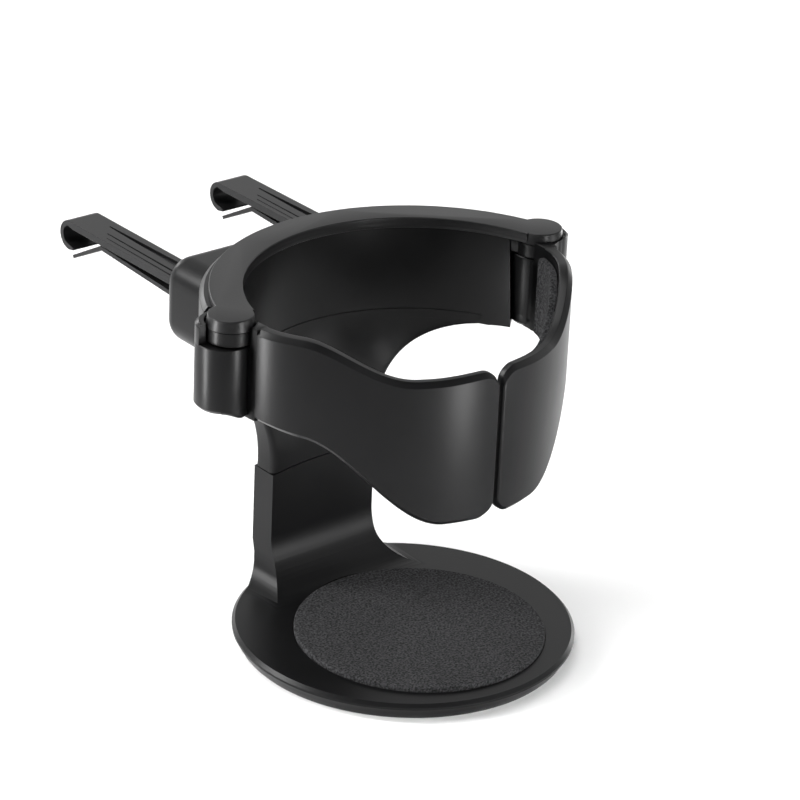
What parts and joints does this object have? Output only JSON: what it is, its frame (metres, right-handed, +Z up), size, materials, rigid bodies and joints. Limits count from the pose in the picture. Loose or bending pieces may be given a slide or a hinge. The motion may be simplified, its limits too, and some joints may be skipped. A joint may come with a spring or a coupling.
{
  "type": "car vent cup holder",
  "caption": "Cup holder for a car's air vent: C-shaped ring with sprung clamp arms, vent clips behind it and a round base with a sponge pad on a post.",
  "frame": {"origin": "middle of the round base's underside, on the plane that the base rests on", "axes": "+X to the right seen from the clamp arms' side, +Y back along the vent clips into the vent, +Z up"},
  "size_m": [0.0966, 0.1317, 0.083],
  "materials": {
    "black_plastic": "fine matte texture",
    "satin_plastic": "smooth satin",
    "sponge": "fine-grained sponge",
    "plated_steel": "plated"
  },
  "bodies": {
    "holder": {"ring_body": "black_plastic", "top_cover": "satin_plastic", "left_hinge_washer": "plated_steel", "right_hinge_washer": "plated_steel", "left_hinge_screw": "plated_steel", "right_hinge_screw": "plated_steel", "clip_housing": "black_plastic", "housing_plate": "black_plastic", "housing_screws": "plated_steel", "left_vent_clip": "satin_plastic", "right_vent_clip": "satin_plastic", "base_bracket": "black_plastic", "base_pad": "sponge", "bracket_screws": "plated_steel"},
    "left_arm": {"left_arm": "black_plastic", "left_arm_pad": "sponge", "left_arm_spring": "plated_steel"},
    "right_arm": {"right_arm": "black_plastic", "right_arm_pad": "sponge", "right_arm_spring": "plated_steel"}
  },
  "joints": [
    {"name": "left_arm_hinge", "type": "hinge", "parent": "holder", "child": "left_arm", "pos_m": [-0.0414, 0.0097, 0.065], "axis": [0, 0, -1], "range_deg": [0, 36], "stiffness_Nm_per_rad": 0.08, "springref_deg": -20.05},
    {"name": "right_arm_hinge", "type": "hinge", "parent": "holder", "child": "right_arm", "pos_m": [0.0414, 0.0097, 0.065], "axis": [0, 0, 1], "range_deg": [0, 36], "stiffness_Nm_per_rad": 0.08, "springref_deg": -20.05}
  ]
}
